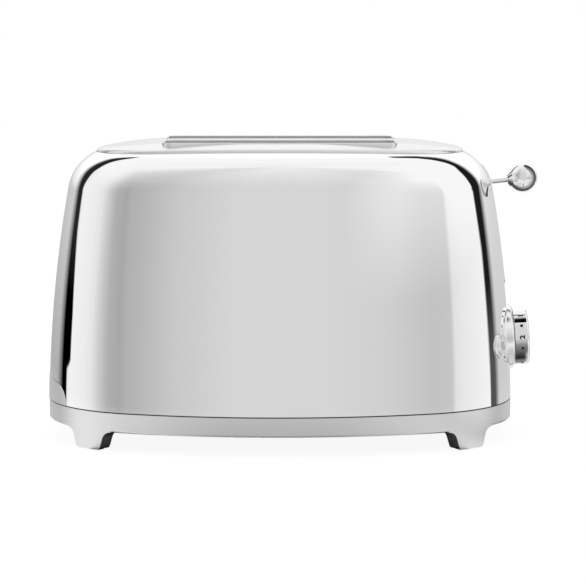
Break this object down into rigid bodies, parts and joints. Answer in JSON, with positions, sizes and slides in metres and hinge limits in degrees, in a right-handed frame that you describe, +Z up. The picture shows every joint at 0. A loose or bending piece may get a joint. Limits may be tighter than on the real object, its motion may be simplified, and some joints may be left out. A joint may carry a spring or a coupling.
{
  "type": "two-slice toaster",
  "caption": "Retro toaster with a rolled bright metal shell, domed satin top, side lever with a ball, browning dial, push buttons and a pull-out crumb tray.",
  "frame": {"origin": "on the surface the toaster stands on, under the middle of the whole, its lever's ball included", "axes": "+Z up, +X towards the lever end, the broad front in the picture faces -Y"},
  "size_m": [0.3276, 0.195, 0.198],
  "materials": {
    "shell_chrome": "polished",
    "satin_steel": "satin",
    "trim_chrome": "polished",
    "lever_chrome": "polished",
    "dial_metal": "satin",
    "button_metal": "satin",
    "sheet_steel": "plain",
    "wire_steel": "bright",
    "core_iron": "plain",
    "bush_brass": "plain",
    "coil_copper": "enamelled",
    "mica": "flaky",
    "ribbon": "plain",
    "rubber": "matt",
    "black_plastic": "matt",
    "ivory_plastic": "matt",
    "board_green": "gloss"
  },
  "bodies": {
    "housing": {"body_shell": "shell_chrome", "top_plate": "satin_steel", "slot_frame_front": "trim_chrome", "slot_frame_rear": "trim_chrome", "base_skirt": "satin_steel", "foot_pads": "rubber", "rim_seal": "rubber", "base_pan": "sheet_steel", "base_screws": "wire_steel", "tray_rails": "sheet_steel", "cord_gland": "rubber", "cord_wrap": "black_plastic", "terminal_block": "ivory_plastic", "end_frame_left": "sheet_steel", "end_frame_right": "sheet_steel", "reflector_front": "sheet_steel", "reflector_rear": "sheet_steel", "carriage_rods": "wire_steel", "return_spring": "wire_steel", "magnet_core": "core_iron", "magnet_coil": "coil_copper", "power_switch": "black_plastic", "lever_slot_trim": "lever_chrome", "dial_bezel": "dial_metal", "button_rings": "button_metal", "button_switches": "black_plastic", "dial_encoder": "black_plastic", "control_board": "board_green", "board_posts": "ivory_plastic", "heater_card_1": "mica", "heater_ribbon_1": "ribbon", "heater_card_2": "mica", "heater_ribbon_2": "ribbon", "heater_card_3": "mica", "heater_ribbon_3": "ribbon", "heater_card_4": "mica", "heater_ribbon_4": "ribbon"},
    "carriage": {"lifter_front": "sheet_steel", "lifter_rear": "sheet_steel", "carriage_bracket": "sheet_steel", "carriage_bushes": "bush_brass", "armature_plate": "core_iron", "lever_stem": "lever_chrome", "lever_knob": "lever_chrome"},
    "guide_1": {"guide_cage_1": "wire_steel"},
    "guide_2": {"guide_cage_2": "wire_steel"},
    "guide_3": {"guide_cage_3": "wire_steel"},
    "guide_4": {"guide_cage_4": "wire_steel"},
    "dial": {"dial_knob": "dial_metal"},
    "cancel": {"cancel_button": "button_metal"},
    "reheat": {"reheat_button": "button_metal"},
    "defrost": {"defrost_button": "button_metal"},
    "tray": {"crumb_tray": "sheet_steel", "tray_front": "satin_steel"}
  },
  "joints": [
    {"name": "carriage_slide", "type": "slide", "parent": "housing", "child": "carriage", "axis": [0, 0, 1], "range_m": [-0.06305, 0.007], "stiffness_N_per_m": 250, "springref_m": 0.0078, "deforming": ["return_spring"]},
    {"name": "guide_1_hinge", "type": "hinge", "parent": "housing", "child": "guide_1", "pos_m": [-0.00841, -0.0415, 0.048], "axis": [1, 0, 0], "range_deg": [-4.1, 0.5]},
    {"name": "guide_2_hinge", "type": "hinge", "parent": "housing", "child": "guide_2", "pos_m": [-0.00841, -0.0105, 0.048], "axis": [1, 0, 0], "range_deg": [-0.5, 4.1]},
    {"name": "guide_3_hinge", "type": "hinge", "parent": "housing", "child": "guide_3", "pos_m": [-0.00841, 0.0105, 0.048], "axis": [1, 0, 0], "range_deg": [-4.1, 0.5]},
    {"name": "guide_4_hinge", "type": "hinge", "parent": "housing", "child": "guide_4", "pos_m": [-0.00841, 0.0415, 0.048], "axis": [1, 0, 0], "range_deg": [-0.5, 4.1]},
    {"name": "dial_turn", "type": "hinge", "parent": "housing", "child": "dial", "pos_m": [0.14499, 0, 0.0653], "axis": [0.998, 0, 0.063], "range_deg": [-277, 0]},
    {"name": "cancel_press", "type": "slide", "parent": "dial", "child": "cancel", "axis": [-0.998, 0, -0.063], "range_m": [0, 0.0015], "stiffness_N_per_m": 800, "springref_m": -0.0005},
    {"name": "reheat_press", "type": "slide", "parent": "housing", "child": "reheat", "axis": [-0.8965, 0.4388, -0.0615], "range_m": [0, 0.0018], "stiffness_N_per_m": 800, "springref_m": -0.0005},
    {"name": "defrost_press", "type": "slide", "parent": "housing", "child": "defrost", "axis": [-0.8965, -0.4388, -0.0615], "range_m": [0, 0.0018], "stiffness_N_per_m": 800, "springref_m": -0.0005},
    {"name": "tray_slide", "type": "slide", "parent": "housing", "child": "tray", "axis": [-1, 0, 0], "range_m": [0, 0.23]}
  ],
  "couplings": [
    {"joint": "guide_1_hinge", "follows": "carriage_slide", "rad_per_m": 1.1073},
    {"joint": "guide_2_hinge", "follows": "carriage_slide", "rad_per_m": -1.1073},
    {"joint": "guide_3_hinge", "follows": "carriage_slide", "rad_per_m": 1.1073},
    {"joint": "guide_4_hinge", "follows": "carriage_slide", "rad_per_m": -1.1073}
  ]
}
